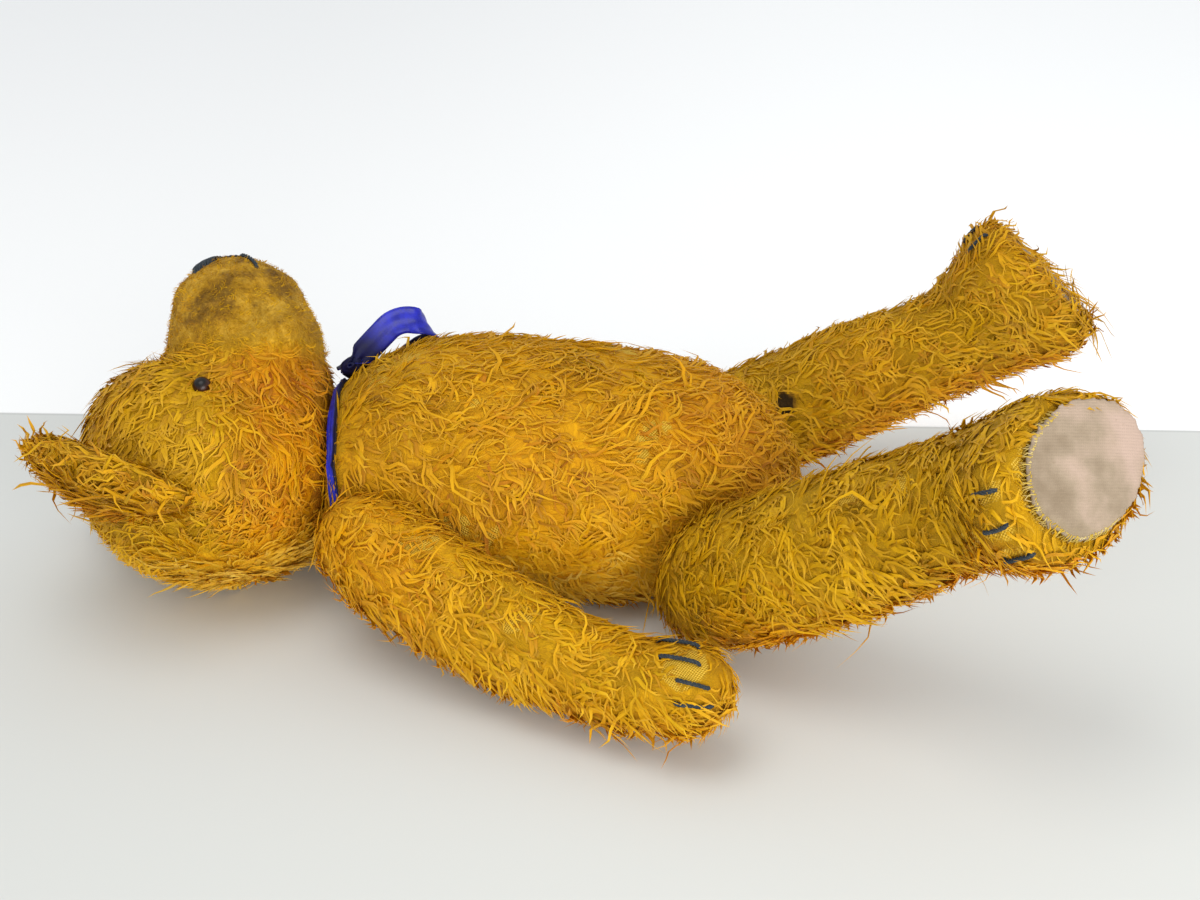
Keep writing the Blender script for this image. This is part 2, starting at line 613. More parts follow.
def skin_values(kind, name, co, normal):
    """Pile thickness, length, nap, tone, wear and grime of each point of a skin."""
    count = len(co)
    thick, long = np.ones(count), np.ones(count)
    tone = 0.50 + 0.10 * field(co, 22.0, 1) + 0.08 * field(co, 60.0, 2)
    wear, grime, felt, fuzz = (np.zeros(count) for _ in range(4))
    stray = np.ones(count)
    below = eased(-normal[:, 2], 0.0, 0.9)
    amber = 0.40 + 0.45 * below + 0.5 * field(co, 16.0, 12)
    patches = eased(field(co, 38.0, 8) + 0.45 * field(co, 100.0, 9), 0.34, 0.62)
    down = np.array((0.0, 0.0, -1.0))
    if kind == "body":
        flow = np.array((1.0, 0.0, 0.0)) + 0.35 * down
        flow = flow + np.stack([0 * co[:, 0], co[:, 1] * 6.0, 0 * co[:, 0]], 1)
        thick *= eased(co[:, 0], -0.106, -0.092)
        low = eased(-co[:, 2], -0.060, -0.030) * eased(-co[:, 1], 0.015, 0.045)
        long *= 1 - 0.25 * low
        amber += 0.35 * low - 0.25 * eased(-co[:, 0], 0.02, 0.08)
        tone += 0.30 * low - 0.12 * (1 - low)
        open_seam = eased(np.linalg.norm(co - OPEN_SEAM["body"], axis=1), 0.005, 0.010)
        grime += 1 - open_seam
        thick *= open_seam
    elif kind == "head":
        local = head_local(co)
        away = local - np.array((-0.043, 0.0, 0.075))
        away[:, 2] *= 0.25
        flow = from_head(away)
        muzzle = eased(local[:, 2], 0.044, 0.058)
        long *= 1 - 0.80 * muzzle
        thick *= 1 - muzzle
        fuzz = eased(local[:, 2], 0.042, 0.054)
        felt = eased(local[:, 2] + 0.004 * field(co, 90.0, 3), 0.044, 0.060)
        patch = eased(field(co, 48.0, 4) + 0.5 * field(co, 130.0, 14), -0.32, 0.26)
        grime += eased(local[:, 2], 0.052, 0.070) * (0.10 + 0.72 * patch)
        tone += felt * (0.10 + 0.30 * field(co, 70.0, 11) + 0.15 * field(co, 190.0, 13)) - 0.36 * grime
        stray *= 1 - fuzz
        thick *= eased(-local[:, 0], 0.000, 0.008)
        cheek = eased(local[:, 0], -0.052, -0.020) * (1 - muzzle)
        amber += 0.45 * cheek - 0.25 * (1 - cheek)
        low = eased(-co[:, 2], -0.060, -0.025)
        tone += (0.30 * low - 0.15 * (1 - low)) * (1 - felt)
        patches *= 0.0
        for eye in ("right_eye", "left_eye"):
            low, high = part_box(eye)
            gap = np.linalg.norm(co - np.array((low + high) / 2), axis=1)
            near = eased(gap, 0.0026, 0.0050)
            thick *= 0.6 + 0.6 * near
            long *= 0.95 + 0.05 * near
            stray += 10 * (1 - eased(gap, 0.004, 0.007))
    elif kind == "ear":
        flow = co - np.array(HEAD_SPHERE)
        tone -= 0.16
        far = eased(np.linalg.norm(flow, axis=1), 0.050, 0.075)
        long *= 0.95 + 0.25 * far
        amber -= 0.1
        patches *= 0.3
    else:
        pivot, tip = limb_ends(name)
        axis = (tip - pivot) / np.linalg.norm(tip - pivot)
        flow = axis + 0.30 * down
        if kind == "arm":
            claws = name.replace("arm_cover", "paw_claws")
            gap = stitch_gap(claws, co)
            middle = np.mean([line.mean(0) for line in claw_lines(claws)[1:]], axis=0)
            bare = 1 - eased(np.linalg.norm(co - middle, axis=1) + 0.003 * field(co, 90.0, 5), 0.0065, 0.0105)
            wear += bare
            tone -= 0.04
            thick *= (1 - 0.97 * bare) * (0.2 + 0.8 * eased(gap, 0.0012, 0.0045))
            long *= 1 - 0.45 * bare - 0.35 * (1 - eased(gap, 0.003, 0.008)) * (1 - bare)
        else:
            tone -= 0.08
            off = (co - OPEN_SEAM["leg"]) * (1.0, 1.0, 0.6)
            open_seam = eased(np.linalg.norm(off, axis=1) + 0.002 * field(co, 120.0, 15), 0.0045, 0.0080)
            grime += 1 - open_seam
            thick *= open_seam
            amber += -0.35 + (0.75 if name.startswith("left") else 0.45) * below
            pad = pad_gap(name, co)
            gap = stitch_gap(name.replace("leg_cover", "foot_claws"), co)
            bare = 1 - eased(gap + 0.002 * field(co, 90.0, 5), 0.003, 0.008)
            if name.startswith("right"):
                toes = bare + (1 - eased(pad, 0.002, 0.005)) * eased(-co[:, 0], -0.185, -0.160)
                wear += toes * 0.6
                thick *= (1 - 0.85 * np.clip(toes, 0, 1)) * eased(pad, 0.0005, 0.003)
                thick *= 0.2 + 0.8 * eased(gap, 0.0012, 0.004)
                long *= (1 - 0.5 * np.clip(toes, 0, 1)) * (0.7 + 0.3 * eased(pad, 0.002, 0.012))
            else:
                rim = 1 - eased(pad, 0.002, 0.012)
                thick *= eased(pad, 0.0, 0.0008) * (1 + 0.9 * rim)
                stray += 26 * rim * (pad > 0.0006)
                long *= 1 + 0.25 * rim
                flow = flow + rim[:, None] * 1.5 * pad_way(name)
                thick *= 0.2 + 0.8 * eased(gap, 0.0012, 0.004)
    wear += 0.75 * patches
    thick *= 1 - 0.35 * patches
    long *= 1 - 0.45 * patches
    nap = along_skin(flow, normal)
    cross = np.cross(normal, nap)
    turn = (1.5 * field(co, 30.0, 6) + 0.8 * field(co, 75.0, 7))[:, None]
    nap, cross = nap * np.cos(turn) + cross * np.sin(turn), cross * np.cos(turn) - nap * np.sin(turn)
    for place in tuft_places(kind, name, co, normal):
        gap = np.linalg.norm(co - place, axis=1)
        stray += 14 * (1 - eased(gap, 0.003, 0.009))
    return {"thick": thick, "long": long, "tone": np.clip(tone, 0.02, 0.98),
            "wear": np.clip(wear, 0, 1), "grime": np.clip(grime, 0, 1), "felt": felt, "fuzz": fuzz,
            "stray": stray * (thick > 0.3), "amber": np.clip(amber, 0, 1),
            "flow": nap, "cross": cross, "skin_normal": normal}


# The dark gap in the crease of the left hip: its place on either side, from where the hip turns
OPEN_SEAM = {"body": np.add(HIP, (0.030, -0.060, 0.030)), "leg": np.add(HIP, (0.035, -0.020, 0.020))}

# How many long tufts hang from the sides of each kind of piece
TUFTS = {"body": 5, "head": 0, "arm": 5, "leg": 7, "ear": 5}


def tuft_places(kind, name, co, normal):
    """Points where long tufts hang, drawn by chance from where the skin faces sideways."""
    chance = np.random.default_rng(sum(map(ord, name)))
    sideways = np.flatnonzero((normal[:, 2] > -0.5) & (normal[:, 2] < 0.3))
    return co[chance.choice(sideways, TUFTS[kind], replace=False)]


def bare_where_hidden(skins):
    """No pile grows where one piece lies against another or flat on the ground."""
    trees = {name: tree_of(obj.data) for name, obj in skins.items()}
    for name, obj in skins.items():
        mesh = obj.data
        thick = np.empty(len(mesh.vertices), np.float32)
        mesh.attributes["thick"].data.foreach_get("value", thick)
        stray = np.empty(len(mesh.vertices), np.float32)
        mesh.attributes["stray"].data.foreach_get("value", stray)
        for other, tree in trees.items():
            if other == name:
                continue
            for i, vertex in enumerate(mesh.vertices):
                near, normal, _, _ = tree.find_nearest(vertex.co, 0.03)
                if near is not None and (vertex.co - near).dot(normal) < 0.0012:
                    thick[i] = stray[i] = 0.0
        for i, vertex in enumerate(mesh.vertices):
            if vertex.co.z < 0.0022 and vertex.normal.z < -0.9:
                thick[i] *= 0.3
                stray[i] = 0.0
        mesh.attributes["thick"].data.foreach_set("value", thick)
        mesh.attributes["stray"].data.foreach_set("value", stray)


HEAD_TURN = math.radians(-32)
NECK = Vector((-0.101, 0.0, 0.052))
HEAD_SPHERE = NECK + Vector((-0.050, 0.0, 0.0))
HEAD_TURNED = Matrix.Rotation(HEAD_TURN, 3, "X")
TURN = np.array(HEAD_TURNED)


def head_local(co):
    return (co - np.array(NECK)) @ TURN


def from_head(vectors):
    return vectors @ TURN.T


def limb_ends(name):
    """Where a limb hangs and where its paw or foot ends."""
    x, y, z = SHOULDER if "arm" in name else HIP
    low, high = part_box(name.replace("arm_cover", "paw_claws").replace("leg_cover", "foot_claws"))
    side = RIGHT if name.startswith("right") else LEFT
    return np.array((x, side * y, z)), np.array((low + high) / 2)


def pad_way(name):
    """The way a foot's pad faces."""
    bm = merged(name.replace("leg_cover", "foot_pad"))
    way = sum((f.normal * f.calc_area() for f in bm.faces if f.normal.x > 0.2), Vector())
    bm.free()
    return np.array(way.normalized())


def pad_gap(name, co):
    """How far each point is from the foot's pad."""
    tree = tree_of(node(name.replace("leg_cover", "foot_pad")).data)
    return np.array([tree.find_nearest(Vector(p))[3] for p in co])


COVERS = {
    "body_cover": ("body", "torso", "body_stuffing", 0.0034, 5),
    "head_cover": ("head", "head", "head_stuffing", 0.0030, 4),
    "right_arm_cover": ("arm", "right_arm", "right_arm_stuffing", 0.0029, 4),
    "left_arm_cover": ("arm", "left_arm", "left_arm_stuffing", 0.0029, 4),
    "right_leg_cover": ("leg", "right_leg", "right_leg_stuffing", 0.0030, 4),
    "left_leg_cover": ("leg", "left_leg", "left_leg_stuffing", 0.0030, 4),
    "right_ear": ("ear", "head", None, 0.0019, 3),
    "left_ear": ("ear", "head", None, 0.0019, 3),
}
FULL_SIDE = np.array((0.0, 0.469, 0.883))  # the way the fuller side of the chest faces
# Locks on each kind of piece per square metre: fine ones below, broad ones over them
ROUNDS = {"body": (0.55e5, 0.60e5), "head": (0.55e5, 0.60e5), "arm": (0.6e5, 0.65e5),
          "leg": (0.6e5, 0.65e5), "ear": (0.7e5, 0.7e5)}


def skin_of(cover):
    return bpy.data.objects[cover.replace("_cover", "") + "_skin"]


def filled_out(kind, cover, co, normal):
    """The points of a piece where its stuffing fills it out beyond the cover that it is made from."""
    if kind == "head":
        local, facing = head_local(co), (normal @ TURN)[:, 2]
        fuller = 0.0034 * eased(local[:, 2], 0.040, 0.060) * (1 - 0.55 * eased(facing, 0.3, 0.9))
        fuller += 0.0024 * eased(local[:, 2], 0.045, 0.065) * eased(local[:, 0], -0.035, -0.018)
        fuller += (0.0050 * eased(local[:, 2], 0.014, 0.032) * eased(-local[:, 2], -0.048, -0.040)
                   * eased(-local[:, 0], 0.050, 0.066))
        return co + normal * fuller[:, None]
    if kind == "body":
        chest = np.exp(-((co[:, 0] + 0.052) / 0.034) ** 2) * eased(normal @ FULL_SIDE, 0.25, 0.8)
        return co + normal * 0.0058 * chest[:, None]
    if cover == "left_leg_cover":
        toes = np.exp(-((co[:, 0] - 0.228) / 0.016) ** 2) * eased(co[:, 2], 0.060, 0.090)
        toes *= eased(normal[:, 0], -0.1, 0.5) * eased(pad_gap(cover, co), 0.003, 0.012)
        return co + normal * 0.0045 * toes[:, None]
    if kind == "ear":
        far = eased(np.linalg.norm(co - np.array(HEAD_SPHERE), axis=1), 0.045, 0.075)
        co = co + (normal * (0.0030 * far)[:, None] + np.array((0.0055, 0.0, -0.004)) * far[:, None])
        co[:, 2] = np.maximum(co[:, 2], GROUND)
    return co


def make_skins(mohair):
    """Each stuffed piece's backing, with what the pile on it is like held at its points."""
    ground = material("mohair ground", mohair_ground, roughness=0.85, specular_ior_level=0.25)
    for cover, (kind, body, core, voxel, smoothing) in COVERS.items():
        mesh = remeshed(outer_skin(cover, core), cover + "_skin", voxel, smoothing, mohair.lumps)
        co, normal = values_of(mesh)
        co, normal = moved(mesh, filled_out(kind, cover, co, normal))
        for name, value in skin_values(kind, cover, co, normal).items():
            set_value(mesh, name, value)
        obj = bpy.data.objects.new(cover.replace("_cover", "") + "_skin", mesh)
        bpy.context.scene.collection.objects.link(obj)
        mesh.materials.append(ground)
        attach(obj, body)
        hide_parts(cover)
    bare_where_hidden({cover: skin_of(cover) for cover in COVERS})


def make_fur(mohair):
    """Fine locks, broad ones over them and a few that stand away, on every skin but the muzzle's."""
    paint = material("mohair locks", mohair_lock, roughness=0.62, specular_ior_level=0.2)
    tree, labels = fur_tree("mohair pile")
    for cover, (kind, body, *_) in COVERS.items():
        short = cover.replace("_cover", "")
        fine, broad = ROUNDS[kind]
        grown(skin_of(cover), f"{short}_fine_locks", tree, labels, {
            "Points in a lock": 5, "Locks per square metre": fine * mohair.thickness,
            "Length": mohair.fine_length, "Width": mohair.fine_width, "Clump size": 0.004,
            "Clumping": 0.7, "Swirl": 1.2, "Lift": 0.15, "Seed": 7, "Material": paint,
        }, body)
        grown(skin_of(cover), f"{short}_broad_locks", tree, labels, {
            "Locks per square metre": broad * mohair.thickness, "Length": mohair.broad_length,
            "Width": mohair.broad_width, "Lift": 0.13, "Seed": 38, "Material": paint,
        }, body)
        grown(skin_of(cover), f"{short}_stray_locks", tree, labels, {
            "Spread by": "stray", "Points in a lock": 7, "Locks per square metre": 2600.0,
            "Length": mohair.stray_length, "Width": mohair.stray_width, "Clump size": 0.004,
            "Clumping": 0.9, "Swirl": 1.5, "Wave": 0.16, "Lift": 0.30, "Droop": 0.22, "Seed": 91,
            "Material": paint,
        }, body)
    grown(skin_of("head_cover"), "muzzle_fuzz", tree, labels, {
        "Spread by": "fuzz", "Points in a lock": 4, "Locks per square metre": 4.2e5,
        "Length": mohair.fuzz_length, "Width": 0.0011, "Clump size": 0.003, "Clumping": 0.4,
        "Swirl": 2.0, "Wave": 0.2, "Lift": 0.30, "Droop": 0.0, "Seed": 17, "Material": paint,
    }, "head")


# ---------------------------------------------------------------- thread, cloth and glass


def smooth_line(points, step):
    """Points about a step apart on a smooth curve through those given."""
    given = [np.array(p, float) for p in points]
    given = [given[0] * 2 - given[1], *given, given[-1] * 2 - given[-2]]
    out = []
    for a, b, c, d in zip(given, given[1:], given[2:], given[3:]):
        parts = max(1, round(np.linalg.norm(c - b) / step))
        for k in range(parts):
            t = k / parts
            out.append(0.5 * (2 * b + (c - a) * t + (2 * a - 5 * b + 4 * c - d) * t * t
                              + (3 * b - a - 3 * c + d) * t ** 3))
    return np.array([*out, given[-2]])


def frames_along(line):
    """Two directions across the line at each of its points, carried along without twisting."""
    ways = unit(np.gradient(line, axis=0))
    start = np.array(Vector(ways[0]).orthogonal(), float)
    one, two = [], []
    for way in ways:
        start = start - way * start.dot(way)
        start = start / max(np.linalg.norm(start), 1e-9)
        one.append(start)
        two.append(np.cross(way, start))
    return np.array(one), np.array(two)


class Shape:
    """Points and faces gathered into one mesh."""

    def __init__(self):
        self.points, self.faces, self.reverse = [], [], []

    def add(self, points, faces):
        base = sum(len(p) for p in self.points)
        self.points.append(np.asarray(points, float))
        self.faces.extend(tuple(base + i for i in face) for face in faces)

    def tube(self, line, radii, sides=6):
        """A closed round tube along the line."""
        one, two = frames_along(line)
        radii = np.broadcast_to(radii, len(line))
        turns = np.arange(sides) * 2 * math.pi / sides
        rings = (line[:, None] + radii[:, None, None] * (
            one[:, None] * np.cos(turns)[None, :, None] + two[:, None] * np.sin(turns)[None, :, None]))
        faces = []
        for i in range(len(line) - 1):
            for k in range(sides):
                a, b = i * sides + k, i * sides + (k + 1) % sides
                faces.append((a, b, b + sides, a + sides))
        faces.append(tuple(range(sides - 1, -1, -1)))
        last = (len(line) - 1) * sides
        faces.append(tuple(last + k for k in range(sides)))
        self.add(rings.reshape(-1, 3), faces)

    def twisted(self, line, radius, plies=3, pitch=0.0045, sides=6, phase=0.0):
        """A thread of several plies twisted together, pointed where it goes in."""
        one, two = frames_along(line)
        far = np.concatenate([[0], np.cumsum(np.linalg.norm(np.diff(line, axis=0), axis=1))])
        share = far / far[-1]
        thin = np.clip(np.minimum(share, 1 - share) / 0.05, 0.35, 1.0)
        for ply in range(plies):
            turn = 2 * math.pi * (far / pitch + ply / plies) + phase
            shift = (one * np.cos(turn)[:, None] + two * np.sin(turn)[:, None]) * (radius * 0.5)
            self.tube(line + shift * thin[:, None], radius * 0.56 * thin, sides)

    def strip(self, middle, thickness, closed=False, dull=0.0):
        """A sheet whose middle surface is the grid of points given, with its edges closed."""
        rows, columns = middle.shape[:2]
        ahead = np.roll(middle, -1, 0) - np.roll(middle, 1, 0) if closed else np.gradient(middle, axis=0)
        across = np.gradient(middle, axis=1)
        normal = np.cross(ahead, across)
        normal /= np.maximum(np.linalg.norm(normal, axis=2, keepdims=True), 1e-12)
        layers = np.stack([middle + normal * thickness / 2, middle - normal * thickness / 2])
        dull = np.broadcast_to(np.reshape(dull, (-1, 1)), (rows, columns)).ravel()
        self.reverse += list(dull) + [1.0] * (rows * columns)
        faces = []

        def at(layer, i, j):
            return layer * rows * columns + (i % rows) * columns + j

        for i in range(rows if closed else rows - 1):
            for j in range(columns - 1):
                faces.append((at(0, i, j), at(0, i + 1, j), at(0, i + 1, j + 1), at(0, i, j + 1)))
                faces.append((at(1, i, j), at(1, i, j + 1), at(1, i + 1, j + 1), at(1, i + 1, j)))
            for j in (0, columns - 1):
                faces.append((at(0, i, j), at(1, i, j), at(1, i + 1, j), at(0, i + 1, j)))
        if not closed:
            for i in (0, rows - 1):
                for j in range(columns - 1):
                    faces.append((at(0, i, j), at(0, i, j + 1), at(1, i, j + 1), at(1, i, j)))
        self.add(layers.reshape(-1, 3), faces)

    def made(self, name, paint, body, slot, *replaced):
        mesh = bpy.data.meshes.new(name)
        mesh.from_pydata(np.concatenate(self.points).tolist(), [], self.faces)
        bm = bmesh.new()
        bm.from_mesh(mesh)
        bmesh.ops.recalc_face_normals(bm, faces=bm.faces)
        bm.to_mesh(mesh)
        bm.free()
        mesh.shade_smooth()
        if self.reverse:
            set_value(mesh, "reverse", np.array(self.reverse))
        mesh.materials.append(paint)
        return kept(bpy.data.objects.new(name, mesh), body, slot, *replaced)


def kept(obj, body, slot, *replaced):
    """Puts a finished piece in the scene on its body."""
    bpy.context.scene.collection.objects.link(obj)
    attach(obj, body)
    if replaced:
        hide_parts(*replaced)
    return obj


def black_thread(graph, shader):
    at = graph.get("ShaderNodeTexCoord", None, None, "Object")
    fibre = graph.noise(at, 2600.0, 2.0, 0.6)
    dust = graph.noise(at, 420.0, 3.0, 0.6)
    colour = graph.ramp(fibre * 0.7 + dust * 0.3, ((0.25, linear(26, 30, 34)), (0.55, linear(52, 60, 66)),
                                                   (0.8, linear(98, 104, 104))))
    join_to(graph, shader, colour, None, fibre, 0.4, 0.0002)


def satin_paint(band):
    """Satin, bright on its right side and dull on the other."""
    def build(graph, shader):
        satin(graph, shader, tuple(band.bright), tuple(band.dull))

    return material("blue satin", build, roughness=0.35, specular_ior_level=0.3, sheen_weight=0.04,
                    sheen_roughness=0.3)


def satin(graph, shader, bright, dull):
    at = graph.get("ShaderNodeTexCoord", None, None, "Object")
    crease = graph.noise(at, 210.0, 2.0, 0.5)
    thread = graph.noise(at * (900.0, 3200.0, 900.0), 1.0, 1.0)
    shine = graph.smooth(crease + (thread - 0.5) * 0.25, 0.25, 0.75, 0.66, 1.36)
    reverse = graph.attribute("reverse")
    colour = graph.blend(reverse, graph.tint(bright, shine), graph.tint(dull, 0.5 + crease))
    join_to(graph, shader, colour, graph.smooth(crease, 0.2, 0.8, 0.30, 0.44) + reverse * 0.25,
            crease + thread * 0.2, 0.12, 0.0006)


def pad_cloth(graph, shader):
    """Faded cotton twill, its fine slanting rib worn away in the middle and greyed towards the toes."""
    at = graph.get("ShaderNodeTexCoord", None, None, "Object")
    toes, wide = graph.attribute("toes"), graph.attribute("wide")
    rib = graph.math("SINE", (toes * 0.62 + wide * 0.78) * 150.0) * 0.5 + 0.5
    cross = graph.math("SINE", (toes * 0.78 - wide * 0.62) * 190.0) * 0.5 + 0.5
    fine = graph.noise(at, 1700.0, 3.0, 0.7)
    stain = graph.noise(at, 52.0, 3.0, 0.55)
    mark = graph.noise(at, 190.0, 4.0, 0.7)
    colour = graph.ramp(stain - toes * 0.17 + (mark - 0.5) * 0.15,
                        ((0.30, linear(140, 123, 102)), (0.45, linear(160, 142, 121)),
                         (0.58, linear(178, 156, 137)), (0.75, linear(190, 165, 149))))
    grime = graph.smooth(graph.attribute("grime") + (mark - 0.5) * 0.8, 0.30, 0.95)
    colour = graph.blend(grime * 0.5, colour, linear(150, 134, 98))
    spots = graph.smooth(graph.noise(at, 300.0, 2.0, 0.5), 0.70, 0.80)
    colour = graph.blend(spots * 0.3, colour, linear(132, 110, 84))
    colour = graph.tint(colour, 0.94 + rib * 0.035 + cross * 0.02 + (fine - 0.5) * 0.20)
    join_to(graph, shader, colour, None, rib * 0.4 + cross * 0.2 + fine * 0.5 + mark * 0.8, 0.35, 0.0006)


def fringe_cotton(graph, shader):
    at = graph.get("ShaderNodeTexCoord", None, None, "Object")
    blot = graph.noise(at, 260.0, 2.0, 0.6)
    colour = graph.ramp(blot, ((0.3, linear(186, 150, 40)), (0.5, linear(204, 176, 84)),
                               (0.7, linear(212, 194, 140))))
    join_to(graph, shader, colour, None, graph.noise(at, 3000.0, 1.0), 0.3, 0.0002)


def eye_glass(graph, shader):
    """Black glass with a brown rim where light gets in at the edge."""
    rim = graph.smooth(graph.attribute("rim"), 0.45, 0.95)
    at = graph.get("ShaderNodeTexCoord", None, None, "Object")
    haze = graph.noise(at, 700.0, 2.0, 0.5)
    colour = graph.blend(rim, linear(16, 11, 8), linear(58, 30, 14))
    join_to(graph, shader, colour, graph.smooth(haze, 0.3, 0.8, 0.26, 0.44))


def wood_wool(graph, shader):
    at = graph.get("ShaderNodeTexCoord", None, None, "Object")
    curl = graph.noise(at, 140.0, 1.0, 0.4)
    strip = graph.math("SINE", curl * 90.0) * 0.5 + 0.5
    colour = graph.ramp(strip, ((0.0, linear(150, 116, 62)), (0.5, linear(206, 176, 112)),
                                (1.0, linear(228, 206, 150))))
    join_to(graph, shader, colour, None, strip, 0.6, 0.0008)


def hardboard(graph, shader):
    at = graph.get("ShaderNodeTexCoord", None, None, "Object")
    fibre = graph.noise(at * (900.0, 900.0, 300.0), 1.0, 4.0, 0.7)
    colour = graph.ramp(fibre, ((0.3, linear(92, 62, 38)), (0.7, linear(138, 98, 62))))
    join_to(graph, shader, colour, None, fibre, 0.3, 0.0003)


def dull_steel(graph, shader):
    at = graph.get("ShaderNodeTexCoord", None, None, "Object")
    rust = graph.noise(at, 520.0, 4.0, 0.65)
    spots = graph.smooth(rust, 0.52, 0.66)
    colour = graph.blend(spots, linear(150, 148, 142), linear(116, 70, 40))
    join_to(graph, shader, colour, graph.smooth(rust, 0.3, 0.7, 0.32, 0.75), rust, 0.15, 0.0002)


def merged(name):
    """A CAD node's mesh with its doubles merged and its faces pointing out."""
    bm = bmesh.new()
    bm.from_mesh(node(name).data)
    bmesh.ops.remove_doubles(bm, verts=bm.verts, dist=1e-5)
    bmesh.ops.recalc_face_normals(bm, faces=bm.faces)
    bm.normal_update()
    return bm


def tree_of(mesh):
    """A mesh's faces, sorted for finding the nearest one."""
    return BVHTree.FromPolygons([v.co.copy() for v in mesh.vertices],
                                [tuple(p.vertices) for p in mesh.polygons])


def over(tree, point, height):
    """The point that stands this high over the skin."""
    near, normal, _, _ = tree.find_nearest(Vector(point))
    return np.array(near + normal * height)


# How far the stitches of a foot have slipped, in millimetres
STITCH_SHIFT = {"left_foot_claws": (-9, 8, -3)}
CAD_THREAD = 0.0011  # half the thickness of a stitch in the CAD
SAME_PLACE = 0.0006  # how near to each other a ring's points come at the thread's middle
SAME_STITCH = 0.0075  # how near to each other the rings of one stitch are


def claw_lines(name):
    """Each stitch of a paw or foot, as the middles of its thread."""
    bm = merged(name)
    inner = np.array([v.co - v.normal * CAD_THREAD for v in bm.verts])
    bm.free()
    middles, used = [], np.zeros(len(inner), bool)
    for i, point in enumerate(inner):
        if used[i]:
            continue
        close = np.linalg.norm(inner - point, axis=1) < SAME_PLACE
        if close.sum() >= 4:
            used |= close
            middles.append(inner[close].mean(0))
    groups = []
    for point in middles:
        apart, group = [], [point]
        for other in groups:
            if min(np.linalg.norm(point - q) for q in other) < SAME_STITCH:
                group += other
            else:
                apart.append(other)
        groups = apart + [group]
    lines = []
    for group in groups:
        group = np.array(group)
        if len(group) < 2:
            continue
        way = np.linalg.svd(group - group.mean(0))[2][0]
        lines.append(group[np.argsort(group @ way)] + np.array(STITCH_SHIFT.get(name, (0, 0, 0))) * 0.001)
    return lines


def stitch_gap(name, co):
    """How far each point is from the claw stitches."""
    gap = np.full(len(co), 1.0)
    for line in claw_lines(name):
        for point in smooth_line(line, 0.001):
            gap = np.minimum(gap, np.linalg.norm(co - point, axis=1))
    return gap


def thread_paint():
    """The black thread of the claws, nose and mouth, made once."""
    made = bpy.data.materials.get("black embroidery thread")
    return made or material("black embroidery thread", black_thread, roughness=0.7,
                            specular_ior_level=0.3)


def make_claws(thread):
    """Long stitches of twisted thread on each paw and foot, their ends drawn in through the cloth."""
    for end, side in (("paw", "right"), ("paw", "left"), ("foot", "right"), ("foot", "left")):
        claws = f"{side}_{end}_claws"
        body = f"{side}_arm" if end == "paw" else f"{side}_leg"
        shape, tree = Shape(), tree_of(skin_of(body).data)
        for k, line in enumerate(claw_lines(claws)):
            way = (line[-1] - line[0]) / np.linalg.norm(line[-1] - line[0])
            lifted = [over(tree, p, 0.0013) for p in line]
            ends = (over(tree, line[0] - way * 0.0016, -0.0010), over(tree, line[-1] + way * 0.0016, -0.0010))
            path = smooth_line([ends[0], *lifted, ends[1]], 0.0007)
            shape.twisted(path, thread.claw_radius, 3, 0.0050, 6, k * 1.3)
        shape.made(f"{side}_{end}_claw_stitches", thread_paint(), body, "black_thread", claws)


SNOUT_TIP, SNOUT_TIP_RADIUS = Vector((-0.043, 0.0, 0.068)), 0.0265
HEAD_CENTRE = Vector((-0.045, 0.0, 0.010))
NOSE_HALF_WIDTH, NOSE_TOP, NOSE_BOTTOM = 0.0172, -0.0172, -0.0065
MOUTH_FORK, MOUTH_END = 0.0026, (0.0135, 0.0112)


def over_snout(tree, across, down, height):
    """A point over the tip of the snout: across to the bear's left, down towards its chin."""
    tip = SNOUT_TIP + Vector((0, 0, SNOUT_TIP_RADIUS))
    to = tip + Vector((down, across, -0.5 * (down ** 2 + across ** 2) / SNOUT_TIP_RADIUS))
    way = HEAD_TURNED @ (to - HEAD_CENTRE).normalized()
    hit, normal, _, _ = tree.ray_cast(NECK + HEAD_TURNED @ HEAD_CENTRE, way)
    return np.array(hit + normal.normalized() * height * (1 if normal.dot(way) > 0 else -1))


